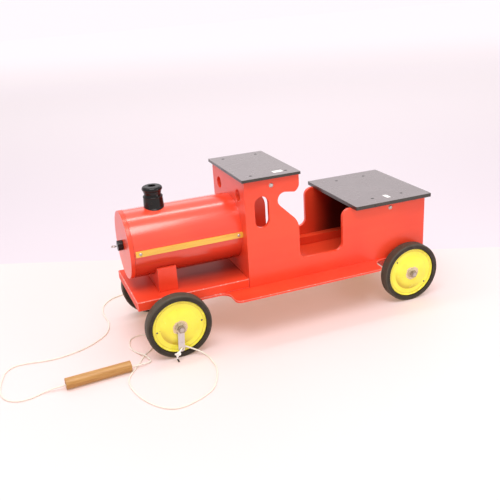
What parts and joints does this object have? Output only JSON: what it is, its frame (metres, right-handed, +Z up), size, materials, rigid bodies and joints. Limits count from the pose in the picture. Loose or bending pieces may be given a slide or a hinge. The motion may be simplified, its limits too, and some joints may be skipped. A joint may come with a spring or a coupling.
{
  "type": "toy_train_locomotive",
  "caption": "Ride-on wooden toy locomotive, painted red, with a tube boiler, black roof and seat, yellow disc wheels with rubber tyres, and a white pull cord with a wooden handle.",
  "frame": {"origin": "on the ground, under the middle of the locomotive without its pull cord", "axes": "+Z up; the front looks along -X; the left side is -Y"},
  "size_m": [1.0849, 0.5918, 0.381],
  "materials": {
    "red_paint": "gloss",
    "black_board": "gloss",
    "black_paint": "gloss",
    "varnished_wood": "gloss",
    "bare_wood": "satin",
    "yellow_enamel": "gloss",
    "tyre_rubber": "matte",
    "bright_steel": "satin",
    "cord_cotton": "matte"
  },
  "bodies": {
    "locomotive": {"floor_plate": "red_paint", "base_board": "red_paint", "side_panel_left": "red_paint", "side_panel_right": "red_paint", "cab_front": "red_paint", "rear_panel": "red_paint", "floor_batten_left": "red_paint", "floor_batten_right": "red_paint", "roof_cleats": "red_paint", "seat_cleats": "red_paint", "roof_board": "black_board", "seat_board": "black_board", "boiler_barrel": "red_paint", "boiler_front_disc": "red_paint", "boiler_rear_disc": "red_paint", "boiler_saddle": "red_paint", "chimney": "black_paint", "front_knob": "black_paint", "screw_eye": "bright_steel", "handrail_left": "varnished_wood", "handrail_right": "varnished_wood", "handrail_screws": "bright_steel", "roof_screws": "black_paint", "seat_screws": "black_paint", "side_screws": "bright_steel", "front_axle_block": "red_paint", "rear_axle_block": "red_paint", "front_axle": "bright_steel", "rear_axle": "bright_steel", "axle_spacers": "bright_steel", "axle_washers": "bright_steel", "axle_nuts": "bright_steel", "cord_left": "cord_cotton", "cord_right": "cord_cotton"},
    "wheel_front_left": {"tyre_front_left": "tyre_rubber", "outer_disc_front_left": "yellow_enamel", "inner_disc_front_left": "yellow_enamel", "hub_bush_front_left": "bright_steel", "rivets_front_left": "bright_steel"},
    "wheel_front_right": {"tyre_front_right": "tyre_rubber", "outer_disc_front_right": "yellow_enamel", "inner_disc_front_right": "yellow_enamel", "hub_bush_front_right": "bright_steel", "rivets_front_right": "bright_steel"},
    "wheel_rear_left": {"tyre_rear_left": "tyre_rubber", "outer_disc_rear_left": "yellow_enamel", "inner_disc_rear_left": "yellow_enamel", "hub_bush_rear_left": "bright_steel", "rivets_rear_left": "bright_steel"},
    "wheel_rear_right": {"tyre_rear_right": "tyre_rubber", "outer_disc_rear_right": "yellow_enamel", "inner_disc_rear_right": "yellow_enamel", "hub_bush_rear_right": "bright_steel", "rivets_rear_right": "bright_steel"},
    "strap_left": {"pull_strap_left": "bright_steel", "cord_knot_left": "cord_cotton"},
    "strap_right": {"pull_strap_right": "bright_steel", "cord_knot_right": "cord_cotton"},
    "handle": {"pull_handle": "bare_wood"}
  },
  "joints": [
    {"name": "spin_front_left", "type": "hinge", "parent": "locomotive", "child": "wheel_front_left", "pos_m": [-0.29, -0.1285, 0.076], "axis": [0, 1, 0], "continuous": true},
    {"name": "spin_front_right", "type": "hinge", "parent": "locomotive", "child": "wheel_front_right", "pos_m": [-0.29, 0.1285, 0.076], "axis": [0, 1, 0], "continuous": true},
    {"name": "spin_rear_left", "type": "hinge", "parent": "locomotive", "child": "wheel_rear_left", "pos_m": [0.32, -0.1285, 0.076], "axis": [0, 1, 0], "continuous": true},
    {"name": "spin_rear_right", "type": "hinge", "parent": "locomotive", "child": "wheel_rear_right", "pos_m": [0.32, 0.1285, 0.076], "axis": [0, 1, 0], "continuous": true},
    {"name": "swing_strap_left", "type": "hinge", "parent": "locomotive", "child": "strap_left", "pos_m": [-0.29, -0.1453, 0.076], "axis": [0, 1, 0], "range_deg": [0, 90]},
    {"name": "swing_strap_right", "type": "hinge", "parent": "locomotive", "child": "strap_right", "pos_m": [-0.29, 0.1453, 0.076], "axis": [0, 1, 0], "range_deg": [0, 90]},
    {"name": "turn_handle", "type": "hinge", "parent": "locomotive", "child": "handle", "pos_m": [-0.4825, -0.1475, 0.0125], "axis": [0.9986, 0.0523, 0], "continuous": true}
  ]
}
